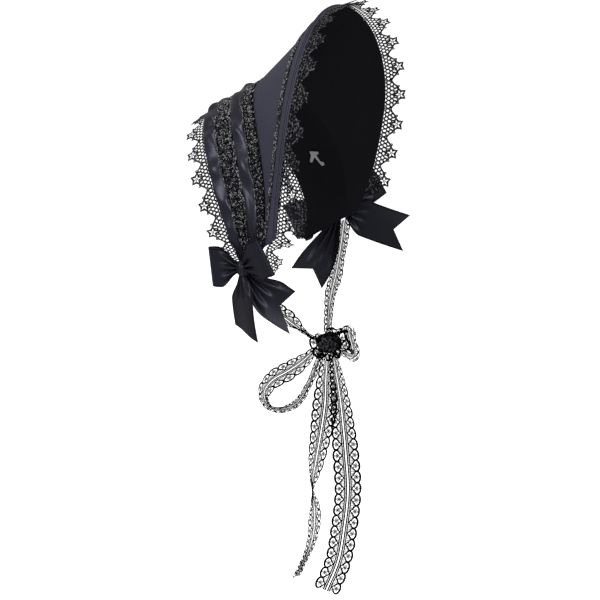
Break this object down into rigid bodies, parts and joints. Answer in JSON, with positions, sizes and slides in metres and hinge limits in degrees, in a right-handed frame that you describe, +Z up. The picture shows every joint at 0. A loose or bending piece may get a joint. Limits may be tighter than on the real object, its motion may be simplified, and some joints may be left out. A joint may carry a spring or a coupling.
{
  "type": "lace-trimmed half bonnet with side bows and chin ties",
  "caption": "Half bonnet with an open back: flaring brim, ribbon and lace bands over the crown, bows at its lower corners and lace ties knotted under the chin.",
  "frame": {"origin": "top middle of the crown's inner side, where it sits on the head", "axes": "+Z up along the hanging ties, -Y towards the front of the brim, +X towards the wearer's left"},
  "size_m": [0.2753, 0.1762, 0.5962],
  "materials": {
    "satin": "black satin with a soft sheen",
    "brim_cloth": "matt slate-black closely woven cloth",
    "lining": "matt black lining cloth",
    "lace": "black corded lace",
    "tie_lace": "fine black net lace ribbon",
    "metal": "bent steel strip, lightly worn"
  },
  "bodies": {
    "root": {"crown_band": "satin", "crown_lining": "lining", "brim_panel": "brim_cloth", "brim_lining": "lining", "satin_ribbon_back": "satin", "lace_trim_wide": "lace", "satin_ribbon_middle": "satin", "lace_trim_seam": "lace", "edge_strip": "brim_cloth", "braid_trim": "lace", "star_lace_front": "lace", "star_lace_back": "lace", "right_bow_knot": "satin", "right_bow_back_loop": "satin", "right_bow_front_loop": "satin", "right_bow_front_tail": "satin", "right_bow_hanging_tail": "satin", "left_bow_knot": "satin", "left_bow_back_loop": "satin", "left_bow_front_loop": "satin", "left_bow_front_tail": "satin", "left_bow_hanging_tail": "satin", "right_tie": "tie_lace", "left_tie": "tie_lace", "tie_loop": "tie_lace", "tie_fold": "tie_lace", "tie_tail_left": "tie_lace", "tie_tail_right": "tie_lace", "tie_knot": "tie_lace", "hair_clip": "metal"}
  },
  "joints": []
}
